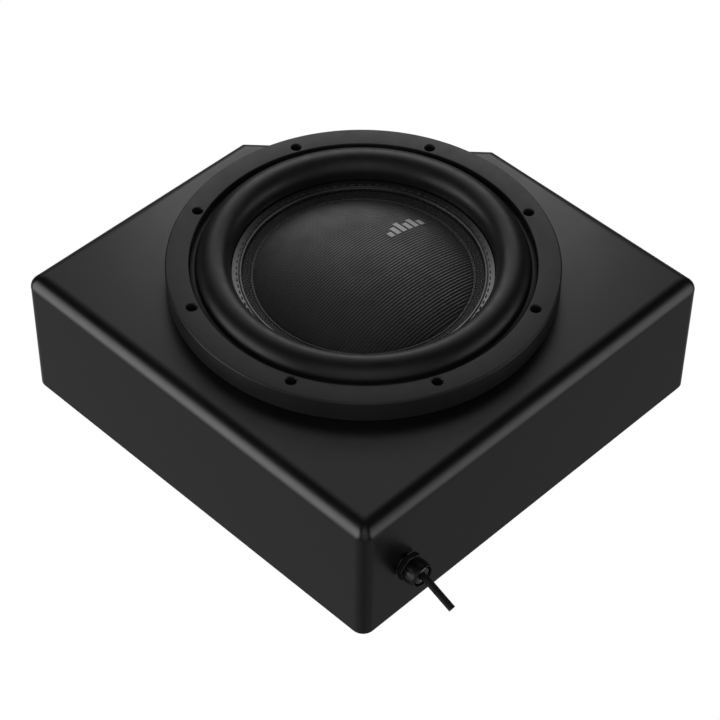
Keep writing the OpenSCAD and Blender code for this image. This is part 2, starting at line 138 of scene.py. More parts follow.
def outline(corners, steps=4):
    """A closed outline whose corners (x, y, radius) are rounded."""
    out = []
    for k, (x, y, radius) in enumerate(corners):
        here = np.array([x, y], float)
        if radius <= 0:
            out.append(here)
            continue
        before = np.array(corners[k - 1][:2], float) - here
        after = np.array(corners[(k + 1) % len(corners)][:2], float) - here
        reach_before, reach_after = np.linalg.norm(before), np.linalg.norm(after)
        before, after = before / reach_before, after / reach_after
        half = math.acos(float(np.clip(before @ after, -1, 1))) / 2
        reach = min(radius / math.tan(half), reach_before / 2, reach_after / 2)
        middle = (before + after) / np.linalg.norm(before + after)
        centre = here + middle * reach / math.cos(half)
        a, b = here + before * reach - centre, here + after * reach - centre
        start = math.atan2(a[1], a[0])
        sweep = (math.atan2(b[1], b[0]) - start + math.pi) % TAU - math.pi
        size = np.linalg.norm(a)
        for t in np.linspace(0, 1, steps + 1):
            angle = start + sweep * t
            out.append(centre + size * np.array([math.cos(angle), math.sin(angle)]))
    return out


def rings_to_faces(count, width, closed_ring=True, closed_run=False):
    """Quads between count rings of width points each."""
    i = np.arange(count if closed_run else count - 1)[:, None]
    j = np.arange(width if closed_ring else width - 1)[None, :]
    i2, j2 = (i + 1) % count, (j + 1) % width
    quads = np.stack([i * width + j, i2 * width + j, i2 * width + j2, i * width + j2], -1)
    return quads.reshape(-1, 4)


def lathe(profile, segments, shape=None, place=None):
    """Points and faces of a closed outline of (radius, height) turned about Z."""
    profile = np.asarray(profile, float)
    a, r = np.meshgrid(np.arange(segments) * TAU / segments, profile[:, 0], indexing="ij")
    z = np.broadcast_to(profile[:, 1], r.shape).copy()
    if shape:
        r, z = shape(a, r, z)
    points = np.stack([r * np.cos(a), r * np.sin(a), z], -1).reshape(-1, 3) * MM
    if place is not None:
        points = points @ np.array(place.to_3x3()).T + np.array(place.translation)
    return points, rings_to_faces(segments, len(profile), closed_run=True)


def joined(parts):
    """Several (points, faces) as one."""
    points, faces, offset = [], [], 0
    for p, f in parts:
        points.append(np.asarray(p))
        faces.extend([tuple(int(i) + offset for i in face) for face in f])
        offset += len(p)
    return np.concatenate(points), faces


def smooth_route(points, per_span):
    """A denser route through the same points, with per_span steps between each two."""
    p = np.asarray(points, float)
    p = np.vstack([2 * p[0] - p[1], p, 2 * p[-1] - p[-2]])
    out = []
    for k in range(1, len(p) - 2):
        for t in np.arange(per_span) / per_span:
            out.append(0.5 * (2 * p[k] + (p[k + 1] - p[k - 1]) * t
                              + (2 * p[k - 1] - 5 * p[k] + 4 * p[k + 1] - p[k + 2]) * t ** 2
                              + (3 * p[k] - p[k - 1] - 3 * p[k + 1] + p[k + 2]) * t ** 3))
    out.append(p[-2])
    return np.array(out)


def tube(route, radius, sides, across, shape=None):
    """Points and faces of a closed tube along a route. The route never runs along across."""
    route = np.asarray(route, float)
    ahead = np.gradient(route, axis=0)
    ahead /= np.linalg.norm(ahead, axis=1)[:, None]
    u = np.cross(ahead, np.asarray(across, float))
    u /= np.linalg.norm(u, axis=1)[:, None]
    v = np.cross(ahead, u)
    run = np.concatenate([[0], np.cumsum(np.linalg.norm(np.diff(route, axis=0), axis=1))])
    a, s = np.meshgrid(np.arange(sides) * TAU / sides, run)
    r = radius + (shape(a, s) if shape else 0 * a)
    points = route[:, None, :] + r[..., None] * (np.cos(a)[..., None] * u[:, None, :]
                                                 + np.sin(a)[..., None] * v[:, None, :])
    faces = [tuple(f) for f in rings_to_faces(len(route), sides)]
    faces.append(tuple(range(sides - 1, -1, -1)))
    faces.append(tuple((len(route) - 1) * sides + k for k in range(sides)))
    return points.reshape(-1, 3) * MM, faces


def cut(obj, points, faces):
    """Cuts a closed shape out of obj."""
    tool = new_object(obj.name + "_tool", points, faces)
    modifier = obj.modifiers.new("cut", "BOOLEAN")
    modifier.object = tool
    modifier.operation = "DIFFERENCE"
    modifier.solver = "EXACT"
    settled(obj)
    bpy.data.objects.remove(tool)
    obj.data.set_sharp_from_angle(angle=math.radians(30))


def settled(obj):
    """Applies obj's modifiers to its mesh."""
    bpy.context.view_layer.update()
    result = obj.evaluated_get(bpy.context.evaluated_depsgraph_get())
    mesh = bpy.data.meshes.new_from_object(result)
    obj.modifiers.clear()
    obj.data = mesh


def on_circle(radius, turn, z):
    """Moves a shape out to a place on a circle about Z, turned to face outwards."""
    a = math.radians(turn)
    return Matrix.Translation(Vector((radius * math.cos(a), radius * math.sin(a), z)) * MM) \
        @ Matrix.Rotation(a, 4, "Z")


def along_gland():
    """Turns a shape made about Z so that it points out of the side at the gland."""
    return Matrix.Translation(GLAND * MM) @ Matrix.Rotation(math.radians(90), 4, "Y")


def flats(count, blunt):
    """A lathe shape with flats: r is the distance to a flat, and corners stop at blunt times r."""
    def shape(a, r, z):
        off = (a % (TAU / count)) - math.pi / count
        flat = np.minimum(1 / np.cos(off), blunt)
        return r * flat, z
    return shape


# ---------------------------------------------------------------- material helpers

class Look:
    """One material, with short ways to add nodes to it. Sizes are in millimetres."""

    def __init__(self, name, **sockets):
        self.material = bpy.data.materials.new(name)
        self.material.use_nodes = True
        self.tree = self.material.node_tree
        self.shader = self.tree.nodes["Principled BSDF"]
        for socket, value in sockets.items():
            self.shader.inputs[socket.replace("_", " ")].default_value = value
        self.place = self.tree.nodes.new("ShaderNodeTexCoord").outputs["Object"]
        self.normal = None

    def add(self, kind, inputs=None, **settings):
        node = self.tree.nodes.new("ShaderNode" + kind)
        for key, value in settings.items():
            setattr(node, key, value)
        for key, value in (inputs or {}).items():
            if isinstance(value, bpy.types.NodeSocket):
                self.tree.links.new(value, node.inputs[key])
            else:
                node.inputs[key].default_value = value
        return node

    def math(self, operation, a, b=0.0):
        return self.add("Math", {0: a, 1: b}, operation=operation).outputs[0]

    def stretched(self, x=1.0, y=1.0, z=1.0):
        return self.add("Mapping", {"Vector": self.place, "Scale": (x, y, z)}).outputs[0]

    def noise(self, size, detail=3.0, rough=0.5, place=None):
        return self.add("TexNoise", {"Vector": place or self.place, "Scale": 1 / (size * MM),
                                     "Detail": detail, "Roughness": rough}).outputs[0]

    def cells(self, size):
        return self.add("TexVoronoi", {"Vector": self.place, "Scale": 1 / (size * MM)}).outputs["Distance"]

    def ramp(self, factor, *stops):
        node = self.add("ValToRGB", {0: factor})
        ramp = node.color_ramp
        while len(ramp.elements) < len(stops):
            ramp.elements.new(0.5)
        for element, (position, colour) in zip(ramp.elements, stops):
            element.position = position
            element.color = (*colour, 1)
        return node.outputs[0]

    def between(self, factor, low, high, start=0.0, end=1.0):
        """low where factor is at start, high where it is at end, and even in between."""
        return self.add("MapRange", {0: factor, 1: start, 2: end, 3: low, 4: high}).outputs[0]

    def mix(self, factor, a, b):
        node = self.add("Mix", data_type="RGBA")
        for socket, value in zip((node.inputs[0], node.inputs[6], node.inputs[7]), (factor, a, b)):
            if isinstance(value, bpy.types.NodeSocket):
                self.tree.links.new(value, socket)
            else:
                socket.default_value = (*value, 1)
        return node.outputs[2]

    def colour(self, source):
        self.tree.links.new(source, self.shader.inputs["Base Color"])

    def roughness(self, source):
        self.tree.links.new(source, self.shader.inputs["Roughness"])

    def bump(self, height, depth, strength=1.0):
        """Adds a relief of that depth to the relief already there."""
        inputs = {"Height": height, "Distance": depth * MM, "Strength": strength}
        if self.normal:
            inputs["Normal"] = self.normal
        self.normal = self.add("Bump", inputs).outputs[0]
        self.tree.links.new(self.normal, self.shader.inputs["Normal"])

    def worn_edges(self, base, worn):
        """Lightens the outward edges, as handling does."""
        edge = self.between(self.add("NewGeometry").outputs["Pointiness"], 0.0, 0.6, 0.56, 0.72)
        broken = self.math("MULTIPLY", edge, self.between(self.noise(2.5, 4), 0, 1, 0.35, 0.7))
        return self.mix(broken, base, worn)


def grey(level):
    """A neutral grey, very slightly cool."""
    return (level, level, level * 1.02)


def grained(name, dark, light, rough, grain=0.35, depth=0.03, wear=None, **sockets):
    """Moulded plastic, rubber or paint: slight blotches, a fine grain and uneven gloss."""
    look = Look(name, **sockets)
    base = look.ramp(look.noise(28, 4), (0.3, dark), (0.7, light))
    look.colour(look.worn_edges(base, wear) if wear else base)
    look.roughness(look.between(look.noise(9, 5), rough - 0.05, rough + 0.05, 0.3, 0.7))
    look.bump(look.noise(grain, 2), depth, 0.6)
    return look.material


def metal(name, tint, rough, brushed=None, spots=None):
    """Bare or plated metal, brushed along one axis, with slight staining."""
    look = Look(name, Metallic=1.0)
    stain = tuple(c * 0.72 for c in tint)
    look.colour(look.ramp(look.noise(7, 5), (0.35, spots or stain), (0.62, tint)))
    lines = look.noise(0.25, 3, place=look.stretched(*(brushed or (1, 1, 0.05))))
    look.roughness(look.between(lines, rough - 0.08, rough + 0.1, 0.3, 0.7))
    look.bump(lines, 0.01, 0.4)
    return look.material


def pressed_cloth(name, dark, light, pitch, rough, shine):
    """Plain weave of threads along X and Y, coated with resin, with painted shade in the dips of the weave
    and painted highlight on the thread crowns.
    """
    look = Look(name, Sheen_Weight=0.04, Coat_Weight=shine, Coat_Roughness=0.36, Specular_IOR_Level=0.3)
    split = look.add("SeparateXYZ", {0: look.place})
    u, v = (look.math("MULTIPLY", split.outputs[k], math.pi / (pitch * MM)) for k in (0, 1))
    over = look.math("MULTIPLY", look.math("SINE", u), look.math("SINE", v))
    along_y = look.noise(FIBRE, 2, place=look.stretched(1, 0.08, 1))
    along_x = look.noise(FIBRE, 2, place=look.stretched(0.08, 1, 1))
    upper = look.math("GREATER_THAN", over, 0.0)
    fibres = look.math("ADD", look.math("MULTIPLY", along_y, upper),
                       look.math("MULTIPLY", along_x, look.math("SUBTRACT", 1.0, upper)))
    # painted shade and highlight: each thread's colour darkens where it dips at a crossing and lightens at
    # its crown
    shade = look.math("MULTIPLY", fibres, look.between(look.math("ABSOLUTE", over), 0.55, 1.15))
    look.colour(look.ramp(shade, (0.18, dark), (0.62, light)))
    look.roughness(look.between(fibres, rough - 0.08, rough + 0.08, 0.3, 0.7))
    look.bump(fibres, 0.05, 0.7)
    return look.material


def ridged_cloth(name, dark, light, pitch, rough):
    """Cloth whose yarns along Y stand out as ridges. The dust cap's mesh has the same ridges, and its
    colour is darkened in the valleys between them as painted shade.
    """
    look = Look(name, Sheen_Weight=0.03, Specular_IOR_Level=0.85)
    x = look.add("SeparateXYZ", {0: look.place}).outputs[0]
    # painted shade and highlight: ridge is 1 on each yarn's crest and 0 in the valley between yarns, and
    # darkens the colour in the valleys
    ridge = look.math("ABSOLUTE", look.math("SINE", look.math("MULTIPLY", x, math.pi / (pitch * MM))))
    fibres = look.noise(FIBRE, 2, place=look.stretched(1, 0.1, 1))
    patches = look.between(look.noise(16, 3), 0.75, 1.2, 0.35, 0.65)
    shade = look.math("MULTIPLY", look.math("MULTIPLY", ridge, patches),
                      look.between(fibres, 0.7, 1.2, 0.3, 0.7))
    look.colour(look.ramp(shade, (0.35, dark), (0.95, light)))
    look.roughness(look.between(shade, rough + 0.3, rough, 0.3, 0.85))
    look.bump(fibres, 0.04, 0.7)
    return look.material


def wound_wire(name, tint, rough, pitch):
    """Enamelled wire lying turn by turn across Z."""
    look = Look(name, Metallic=0.85, Coat_Weight=0.6, Coat_Roughness=0.15)
    wave = look.add("TexWave", {"Vector": look.place, "Scale": 1 / (pitch * MM) * WAVE_BAND,
                                "Distortion": 0.4},
                    bands_direction="Z", wave_profile="SIN").outputs["Fac"]
    # painted shade: the colour falls to a quarter of the tint in the groove between each two turns
    look.colour(look.ramp(wave, (0.05, tuple(c * 0.25 for c in tint)), (0.6, tint)))
    look.roughness(look.between(look.noise(1.5, 3), rough - 0.06, rough + 0.08, 0.3, 0.7))
    look.bump(wave, 0.2, 0.9)
    return look.material


# ---------------------------------------------------------------- materials of single parts

def box_skin():
    """Satin black skin of the box: very fine grain, faint unevenness, edges rubbed slightly lighter."""
    look = Look("box_black", Specular_IOR_Level=0.5, Coat_Weight=0.12, Coat_Roughness=0.3)
    base = look.ramp(look.noise(60, 4), (0.3, grey(0.0028)), (0.7, grey(0.0038)))
    look.colour(look.worn_edges(base, grey(0.006)))
    look.roughness(look.between(look.noise(14, 5), 0.3, 0.36, 0.3, 0.7))
    look.bump(look.noise(0.55, 3), 0.012, 0.5)
    look.bump(look.noise(0.16, 2), 0.006, 0.4)
    return look.material


def foam():
    """Closed-cell foam with open pores at its cut faces."""
    look = Look("gasket_foam", Roughness=0.95)
    pores = look.cells(0.7)
    # painted shade: each pore is darker towards its middle, where its hollow is deepest
    look.colour(look.ramp(pores, (0.1, grey(0.006)), (0.5, grey(0.03))))
    look.bump(pores, 0.2, 0.8)
    return look.material


def thread():
    """Twisted thread: strands wound diagonally along each stitch."""
    look = Look("stitch_thread", Roughness=0.7, Sheen_Weight=0.35, Sheen_Roughness=0.4)
    twist = look.noise(0.18, 2, place=look.stretched(1, 0.4, 2.5))
    look.colour(look.ramp(twist, (0.3, grey(0.012)), (0.7, grey(0.06))))
    look.bump(twist, 0.08, 0.8)
    return look.material


def braid():
    """Woven sleeve of the cable: filaments over the relief of its strands."""
    look = Look("cable_braid", Specular_IOR_Level=0.25, Sheen_Weight=0.03)
    filament = look.noise(0.11, 3)
    look.colour(look.ramp(filament, (0.3, grey(0.002)), (0.72, grey(0.014))))
    look.roughness(look.between(filament, 0.42, 0.66, 0.3, 0.7))
    look.bump(filament, 0.04, 0.7)
    return look.material


def circuit_board():
    """Green solder resist over copper tracks."""
    look = Look("board_green", Coat_Weight=0.5, Coat_Roughness=0.12)
    tracks = look.add("TexBrick", {"Vector": look.place, "Scale": 1.0, "Mortar Size": 0.0009,
                                   "Brick Width": 0.017, "Row Height": 0.0052}).outputs["Fac"]
    broken = look.math("MULTIPLY", tracks, look.between(look.noise(14, 2), 0, 1, 0.42, 0.5))
    look.colour(look.mix(broken, (0.008, 0.075, 0.024), (0.03, 0.16, 0.045)))
    look.roughness(look.between(look.noise(3, 3), 0.28, 0.4, 0.3, 0.7))
    look.bump(broken, 0.06, 0.8)
    return look.material


def ferrite():
    """Dull sintered magnet, slightly mottled."""
    look = Look("ferrite", Metallic=0.25)
    chips = look.noise(2.2, 6, 0.65)
    look.colour(look.ramp(chips, (0.35, grey(0.02)), (0.7, grey(0.06))))
    look.roughness(look.between(chips, 0.45, 0.75, 0.3, 0.7))
    look.bump(chips, 0.15, 0.5)
    return look.material


def spider_cloth():
    """Impregnated woven cotton."""
    look = Look("spider_cloth", Roughness=0.8, Sheen_Weight=0.2)
    split = look.add("SeparateXYZ", {0: look.place})
    u, v = (look.math("SINE", look.math("MULTIPLY", split.outputs[k], TAU / (1.1 * MM))) for k in (0, 1))
    weave = look.math("MULTIPLY", u, v)
    look.colour(look.ramp(weave, (0.1, (0.16, 0.09, 0.03)), (0.8, (0.38, 0.25, 0.1))))
    look.bump(weave, 0.15, 0.8)
    return look.material


MATERIALS = {
    "box_black": box_skin(),
    "base_metal": grained("base_metal", grey(0.012), grey(0.018), 0.55, 0.9, 0.05, grey(0.05)),
    "gasket_foam": foam(),
    "black_screws": grained("black_screws", grey(0.008), grey(0.018), 0.42, 0.4, 0.02, grey(0.12),
                            Metallic=0.6),
    "insert_brass": metal("insert_brass", (0.72, 0.5, 0.2), 0.3),
    "frame_paint": grained("frame_paint", grey(0.012), grey(0.02), 0.5, 1.1, 0.06, grey(0.06)),
    "trim_rubber": grained("trim_rubber", grey(0.016), grey(0.021), 0.4, 0.8, 0.05, grey(0.03),
                           Specular_IOR_Level=0.33),
    "surround_rubber": grained("surround_rubber", grey(0.009), grey(0.0115), 0.4, 0.22, 0.006, None,
                               Specular_IOR_Level=0.37),
    "edge_rubber": grained("edge_rubber", grey(0.006), grey(0.009), 0.27, 0.3, 0.012, grey(0.03),
                           Specular_IOR_Level=0.85),
    "stitch_thread": thread(),
    "cone_fabric": pressed_cloth("cone_fabric", grey(0.003), grey(0.032), 1.4, 0.45, 0.05),
    "cap_fabric": ridged_cloth("cap_fabric", grey(0.0015), grey(0.025), CAP_PITCH, 0.38),
    "former_aluminium": metal("former_aluminium", (0.74, 0.75, 0.77), 0.3, (1, 1, 12)),
    "copper_wire": wound_wire("copper_wire", (0.72, 0.3, 0.12), 0.28, 0.45),
    "spider_cloth": spider_cloth(),
    "motor_steel": metal("motor_steel", (0.55, 0.56, 0.58), 0.34, None, (0.44, 0.43, 0.38)),
    "ferrite": ferrite(),
    "boot_rubber": grained("boot_rubber", grey(0.008), grey(0.014), 0.6, 0.6, 0.03),
    "terminal_brass": metal("terminal_brass", (0.72, 0.55, 0.26), 0.32),
    "lead_red": grained("lead_red", (0.2, 0.008, 0.006), (0.3, 0.014, 0.01), 0.36, 0.5, 0.01),
    "board_green": circuit_board(),
    "sink_black": grained("sink_black", grey(0.01), grey(0.02), 0.4, 0.25, 0.01, grey(0.25),
                          Metallic=0.7),
    "chip_black": grained("chip_black", grey(0.01), grey(0.017), 0.55, 0.25, 0.02),
    "core_green": grained("core_green", (0.045, 0.08, 0.02), (0.075, 0.12, 0.03), 0.5, 0.6, 0.03),
    "capacitor_sleeve": grained("capacitor_sleeve", (0.006, 0.01, 0.025), (0.01, 0.016, 0.04), 0.28,
                                0.8, 0.01),
    "terminal_green": grained("terminal_green", (0.01, 0.11, 0.035), (0.016, 0.16, 0.05), 0.36,
                              0.5, 0.02),
    "bright_steel": metal("bright_steel", (0.66, 0.67, 0.68), 0.26),
    "fuse_red": grained("fuse_red", (0.42, 0.012, 0.008), (0.52, 0.02, 0.012), 0.2, 1.0, 0.005,
                        None, Coat_Weight=0.5),
    "trimmer_blue": grained("trimmer_blue", (0.008, 0.03, 0.22), (0.014, 0.05, 0.3), 0.36, 0.5, 0.02),
    "knob_white": grained("knob_white", (0.55, 0.55, 0.52), (0.66, 0.66, 0.63), 0.45, 0.5, 0.02),
    "gland_nylon": grained("gland_nylon", grey(0.003), grey(0.005), 0.38, 0.4, 0.015, grey(0.015),
                           Specular_IOR_Level=0.4),
    "seal_rubber": grained("seal_rubber", grey(0.002), grey(0.003), 0.16, 0.6, 0.004, None,
                           Coat_Weight=0.6, Coat_Roughness=0.08),
    "cable_jacket": grained("cable_jacket", grey(0.006), grey(0.01), 0.4, 0.5, 0.02),
    "cable_braid": braid(),
    "mark_ink": grained("mark_ink", (0.46, 0.47, 0.48), (0.58, 0.59, 0.60), 0.42, 0.5, 0.01),
}


# ---------------------------------------------------------------- placing pieces

def dress(obj, material):
    """Gives obj one material in place of any that it has."""
    obj.data.materials.clear()
    obj.data.materials.append(MATERIALS[material])


def place(obj, body, slot, replaces=(), material=None):
    """A piece that rides on one body. Its material has the slot's name unless another is named."""
    dress(obj, material or slot)
    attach(obj, body)
    if replaces:
        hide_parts(*replaces)
    return obj


def stretching(obj, slot, node, weights):
    """A piece meant to stretch between the fixed body and the cone: it gets its material, hides the CAD
    node it replaces and has its transform baked.

    weights gives 0 where the piece is fixed and 1 at the cone; its values are clipped to 0..1 and not used
    further.
    """
    dress(obj, slot)
    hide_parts(node)
    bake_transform(obj)
    points = np.array([v.co for v in obj.data.vertices])
    t = np.clip(weights(points / MM), 0, 1)
    return obj


# ---------------------------------------------------------------- cable

def make_cord():
    """Braided pigtail: two layers of diagonal strands, cut square with its conductors showing."""
    route = smooth_route([(x, GLAND.y, z) for x, z in CORD_ROUTE], 20)
    starts, pitch = 8, 7.5

    def strands(a, s):
        left = np.sin(starts * (a + TAU * s / pitch) / 2)
        right = np.sin(starts * (a - TAU * s / pitch) / 2)
        over = left * right > 0
        return 0.26 * np.where(over, np.abs(left), np.abs(right)) ** 0.8 - 0.2

    sleeve = tube(route, CORD_DIAMETER / 2 + 0.12, 96, (0, 1, 0), strands)
    cord = new_object("braided_cable", *sleeve, crease=60)
    place(cord, "enclosure", "cable_braid", ["cord"])
    end, ahead = route[-1], route[-1] - route[-3]
    ahead = ahead / np.linalg.norm(ahead)
    side = np.array([0, 1.0, 0])
    cores = []
    for s in (-1, 1):
        start = end - ahead * 1.5 + side * 0.95 * s
        cores.append(tube([start, start + ahead * 1.2, start + ahead * 1.55], 0.72, 24, (0, 1, 0)))
    ends = place(new_object("cable_conductors", *joined(cores)), "enclosure", "copper_wire")
    return cord, ends


# ---------------------------------------------------------------- trim ring and its screws

def make_trim_ring():
    """Moulded rubber ring: eased rim and eight countersunk screw wells."""
    skirt = 134.3
    rim = outline([
        (skirt, RING_FOOT, 0.3), (RING_RADIUS, RING_FOOT, 0.4), (RING_RADIUS, RING_TOP - 0.8, 0.6),
        (RING_RADIUS - 0.8, RING_TOP, 0.6), (RING_BORE, RING_TOP, 0.8), (RING_BORE, FLANGE_TOP, 0),
        (skirt, FLANGE_TOP, 0)], 5)
    ring = new_object("trim_ring_moulding", *lathe(rim, 360))
    well = outline([(0, 112, 0), (3.7, 112, 0), (3.7, 121.3, 0.2), (4.15, 121.8, 0.2),
                    (4.3, 123, 0), (0, 123, 0)], 3)
    cut(ring, *joined([lathe(well, 48, place=on_circle(SCREW_CIRCLE, a, 0)) for a in SCREW_TURNS]))
    return place(ring, "enclosure", "trim_rubber", ["trim_ring"])


def make_driver_screws():
    """Cap screws with a hexagon socket, knurled round the head."""
    def shape(a, r, z):
        knurl = np.where((r > 3.3) & (z < 3.4), -0.06 * (np.sin(a * 24) > 0), 0)
        socket = flats(6, 1.16)(a, r, z)[0]
        return np.where((r < 2.0) & (z > 1.6), socket, r + knurl), z
    head = outline([(0, 0, 0), (3.4, 0, 0.2), (3.4, 3.8, 0.4), (1.75, 3.8, 0.15), (1.5, 3.5, 0),
                    (1.5, 1.8, 0), (0, 1.7, 0)], 3)
    shank = outline([(0, -18, 0), (1.6, -18, 0), (1.95, -17.2, 0), (1.95, 0.2, 0), (0, 0.2, 0)], 2)
    parts = []
    for a in SCREW_TURNS:
        where = on_circle(SCREW_CIRCLE, a, FLANGE_TOP)
        parts += [lathe(head, 96, shape, place=where), lathe(shank, 32, place=where)]
    screws = new_object("driver_cap_screws", *joined(parts))
    return place(screws, "enclosure", "black_screws", ["driver_screws"])


# ---------------------------------------------------------------- surround, edge, cone and dust cap

def make_surround():
    """One thick half roll, with its outer flange and the skirt that holds the cone's edge."""
    outer, inner = 12.2, 10.2
    arc = [math.radians(t) for t in range(6, 181, 4)]
    profile = [(120.8, 116.05), (120.85, 117.2), (120.4, 117.5), (117.6, 117.5), (116.9, 117.7)]
    profile += [(ROLL_CIRCLE + outer * math.cos(t), ROLL_Z + outer * math.sin(t)) for t in arc]
    profile += [(92.1, 114.5), (92.15, 112.6), (92.5, 112.15), (93.7, 112.15), (94.1, 112.6)]
    profile += [(ROLL_CIRCLE + inner * math.cos(t), ROLL_Z + inner * math.sin(t)) for t in reversed(arc)]
    profile += [(114.5, 116.05)]
    roll = new_object("surround_roll", *lathe(profile, 288), crease=60)
    fixed, moving = 115.5, 94.1
    return stretching(roll, "surround_rubber", "surround",
                      lambda p: (fixed - np.hypot(p[:, 0], p[:, 1])) / (fixed - moving))


def make_edge():
    """Smooth ring that clamps the surround's skirt, with a raised bead at its inner rim."""
    ring = outline([
        (CONE_RADIUS, 111.5, 0.1), (CONE_RADIUS, 112.65, 0.35), (91.2, 112.6, 0.3), (87.2, 111.2, 0.5),
        (86.7, 110.75, 0.25), (86.2, 111.35, 0.35), (85.0, 111.2, 0.5), (BAND_RADIUS, BAND_Z, 0.1),
        (BAND_RADIUS, 108.6, 0)], 5)
    edge = new_object("edge_clamp_ring", *lathe(ring, 360), crease=50)
    return place(edge, "cone_assembly", "edge_rubber", ["edge_ring"])


def make_stitching():
    """A row of separate stitches, each arching out of the ring and back in."""
    parts, radius = [], BAND_RADIUS + 3.7
    reach, crown = 1.85, 111.85
    for k in range(STITCH_COUNT):
        turn = TAU * k / STITCH_COUNT
        route = []
        for t in np.linspace(-1, 1, 9):
            a = turn + t * reach / radius
            route.append((radius * math.cos(a), radius * math.sin(a), crown - 0.75 * abs(t) ** 3))
        parts.append(tube(route, 0.36, 10, (0, 0, 1), lambda a, s: 0.04 * np.sin(3 * a + s * 6)))
    thread_row = new_object("edge_stitches", *joined(parts), crease=80)
    return place(thread_row, "cone_assembly", "stitch_thread", ["edge_stitching"])


def make_cone():
    """Pressed woven cone. The band outside the dust cap shows its radial ribs and cross threads."""
    slope = (BAND_FOOT - KNEE_Z) / (BAND_RADIUS - KNEE_RADIUS)
    band = [(r, KNEE_Z + (r - KNEE_RADIUS) * slope) for r in np.arange(KNEE_RADIUS, BAND_RADIUS, 0.3)]
    profile = [(CONE_RADIUS, 111.4), (BAND_RADIUS, BAND_FOOT)] + band[::-1]
    profile += [(60, 95.2), (34, 78.8), (32.0, 78.8), (32.0, 73), (33.6, 73), (34.6, 77.2), (60, 93.4),
                (KNEE_RADIUS, KNEE_Z - 1.68), (BAND_RADIUS, 107.1), (CONE_RADIUS, 110.0)]

    def weave(a, r, z):
        top = (r > KNEE_RADIUS - 0.1) & (r < BAND_RADIUS - 0.1) & (z > 106.2)
        ribs, cross = np.sin(150 * a), np.sin(math.pi * r / 1.2)
        relief = np.where(ribs * cross > 0, np.abs(ribs), 0.7 * np.abs(cross)) ** 0.8
        return r, z + np.where(top, 0.55 * relief - 0.05, 0)

    cone = new_object("woven_cone", *lathe(profile, 1800, weave), crease=70)
    return place(cone, "cone_assembly", "cone_fabric", ["cone"])


def dome_height(r):
    """Height of the dust cap's dome at a radius."""
    return CAP_EDGE + CAP_RISE - CAP_DOME + np.sqrt(np.maximum(CAP_DOME ** 2 - r ** 2, 0))


def make_dust_cap():
    """Domed cap of woven cloth: a closed shell under ridges of yarn along Y.

    Each ridge dips where a yarn crosses it, and the ridges fade out at the cap's rim.
    """
    radii, lip = np.linspace(0, CAP_RADIUS, 40), CAP_RADIUS - 2.4
    shell = [(r, float(dome_height(r)) - 0.45) for r in radii]
    shell += [(CAP_RADIUS + 0.5, CAP_EDGE - 0.1), (CAP_RADIUS + 0.5, CAP_EDGE - 0.8), (lip, CAP_EDGE - 0.8)]
    shell += [(r, float(dome_height(r)) - 1.2) for r in radii[::-1] if r < lip]
    parts = [lathe(shell, 180)]
    # Steps of the grid: a fifth of the pitch across the ridges, a quarter along them
    across, along = 0.42, 0.525
    x, y = np.meshgrid(np.arange(-CAP_RADIUS - across, CAP_RADIUS + 2 * across, across),
                       np.arange(-CAP_RADIUS - along, CAP_RADIUS + 2 * along, along), indexing="ij")
    r = np.hypot(x, y)
    keep = (r < CAP_RADIUS + across).reshape(-1)
    x, y = (np.where(r > CAP_RADIUS, c * CAP_RADIUS / np.maximum(r, 1), c) for c in (x, y))
    ridge = np.sin(math.pi * x / CAP_PITCH) ** 2
    yarn = np.floor(x / CAP_PITCH)
    dip = 0.5 - 0.5 * np.cos(TAU * (y / (2 * CAP_PITCH) + yarn / 2))
    flat = np.clip((CAP_RADIUS - np.minimum(r, CAP_RADIUS)) / 1.2, 0, 1)
    z = dome_height(np.minimum(r, CAP_RADIUS)) - 0.4 + 0.4 * ridge * (1 - 0.2 * dip) * flat
    quads = rings_to_faces(*x.shape, closed_ring=False)
    quads = quads[keep[quads].all(1)]
    used, quads = np.unique(quads, return_inverse=True)
    points = np.stack([x, y, z], -1).reshape(-1, 3)[used] * MM
    parts.append((points, quads.reshape(-1, 4)))
    cap = new_object("dust_cap_cloth", *joined(parts), crease=75)
    return place(cap, "cone_assembly", "cap_fabric", ["dust_cap"])


def make_cap_bead():
    """Beaded glue line where the cap meets the cone."""
    middle, height = CAP_RADIUS + 1.1, CAP_EDGE - 0.35

    def beads(a, r, z):
        swell = 0.6 + 0.4 * np.abs(np.sin(120 * a))
        return middle + (r - middle) * swell, height + (z - height) * swell

    section = [(middle + 0.7 * math.cos(t), height + 0.55 * math.sin(t))
               for t in np.arange(0, TAU, TAU / 10)]
    bead = new_object("cap_glue_bead", *lathe(section, 1440, beads), crease=80)
    return place(bead, "cone_assembly", "edge_rubber")


def make_cap_mark():
    """Plain row of level bars, a generic stand-in for a printed mark."""
    parts = []
    foot, first, step, width = -1.2, 29.0, 6.0, 4.1
    for k, length in enumerate((5, 8, 11, 7.5, 10, 6)):
        side = first + step * k
        xs, ys = np.linspace(foot - length, foot, 10), np.linspace(side, side + width, 5)
        gx, gy = np.meshgrid(xs, ys, indexing="ij")
        for lift in (0.12, -0.25):
            gz = dome_height(np.hypot(gx, gy)) + lift
            parts.append((np.stack([gx, gy, gz], -1).reshape(-1, 3) * MM, rings_to_faces(10, 5, False)))
    mark = new_object("cap_level_bars", *joined(parts))
    return place(mark, "cone_assembly", "cap_fabric", material="mark_ink")


def make_spider():
    """Disc of impregnated cloth with three concentric waves, glued to the former and the basket."""
    def lift(r):
        return 2.2 * math.sin(TAU * 3 * (r - 38) / 21) if 38 < r < 59 else 0.0

    radii = [32.2, 35] + list(np.arange(38, 59.1, 0.35)) + [62, 66, 71]
    profile = [(r, 61.05 + lift(r)) for r in radii] + [(r, 61.75 + lift(r)) for r in reversed(radii)]
    spider = new_object("spider_disc", *lathe(profile, 192), crease=60)
    fixed, moving = 60, 37
    return stretching(spider, "spider_cloth", "spider",
                      lambda p: (fixed - np.hypot(p[:, 0], p[:, 1])) / (fixed - moving))


